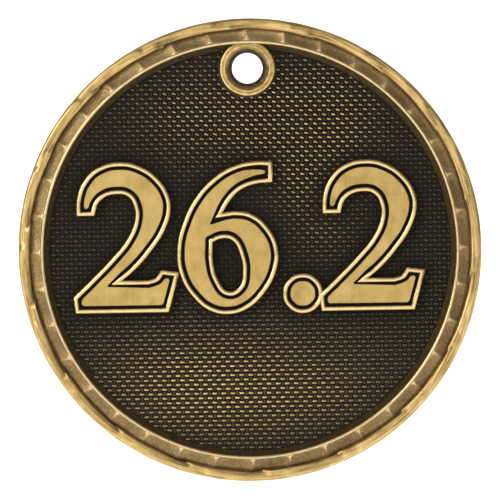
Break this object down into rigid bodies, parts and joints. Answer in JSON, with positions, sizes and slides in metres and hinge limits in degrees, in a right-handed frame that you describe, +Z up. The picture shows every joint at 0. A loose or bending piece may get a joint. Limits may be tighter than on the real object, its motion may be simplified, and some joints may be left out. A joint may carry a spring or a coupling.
{
  "type": "medal",
  "caption": "Round cast race medal with a hammered rim, a scooped ring, a woven recessed field, raised outlined numerals and a hanging hole at the top.",
  "frame": {"origin": "the centre of the hanging hole, in the plane of the flat back", "axes": "the medal hangs upright: the face looks towards -Y, the flat back towards +Y, +Z runs up from the medal's centre through the hanging hole, and +X is to the right as the face is read"},
  "size_m": [0.0508, 0.0032, 0.0509],
  "materials": {
    "plain_back": "satin antique gold, lightly tumbled",
    "hammered_gold": "bright antique gold, hammered and rubbed",
    "scooped_brown": "matte brown patina in the scoops, rubbed ridges",
    "bright_bead": "polished pale gold",
    "blackened_weave": "black patina, with the tops of the weave rubbed to brass",
    "boss_gold": "antique gold, rubbed crest and dark countersink",
    "numeral_border": "polished pale gold, with black enamel in the groove",
    "numeral_face": "brushed gold, fine upright scratches"
  },
  "bodies": {
    "root": {"back_plate": "plain_back", "rim_band": "hammered_gold", "facet_ring": "scooped_brown", "bead_ring": "bright_bead", "woven_field": "blackened_weave", "hanger_boss": "boss_gold", "first_two_border": "numeral_border", "first_two_face": "numeral_face", "six_border": "numeral_border", "six_face": "numeral_face", "point_border": "numeral_border", "point_face": "numeral_face", "last_two_border": "numeral_border", "last_two_face": "numeral_face"}
  },
  "joints": []
}
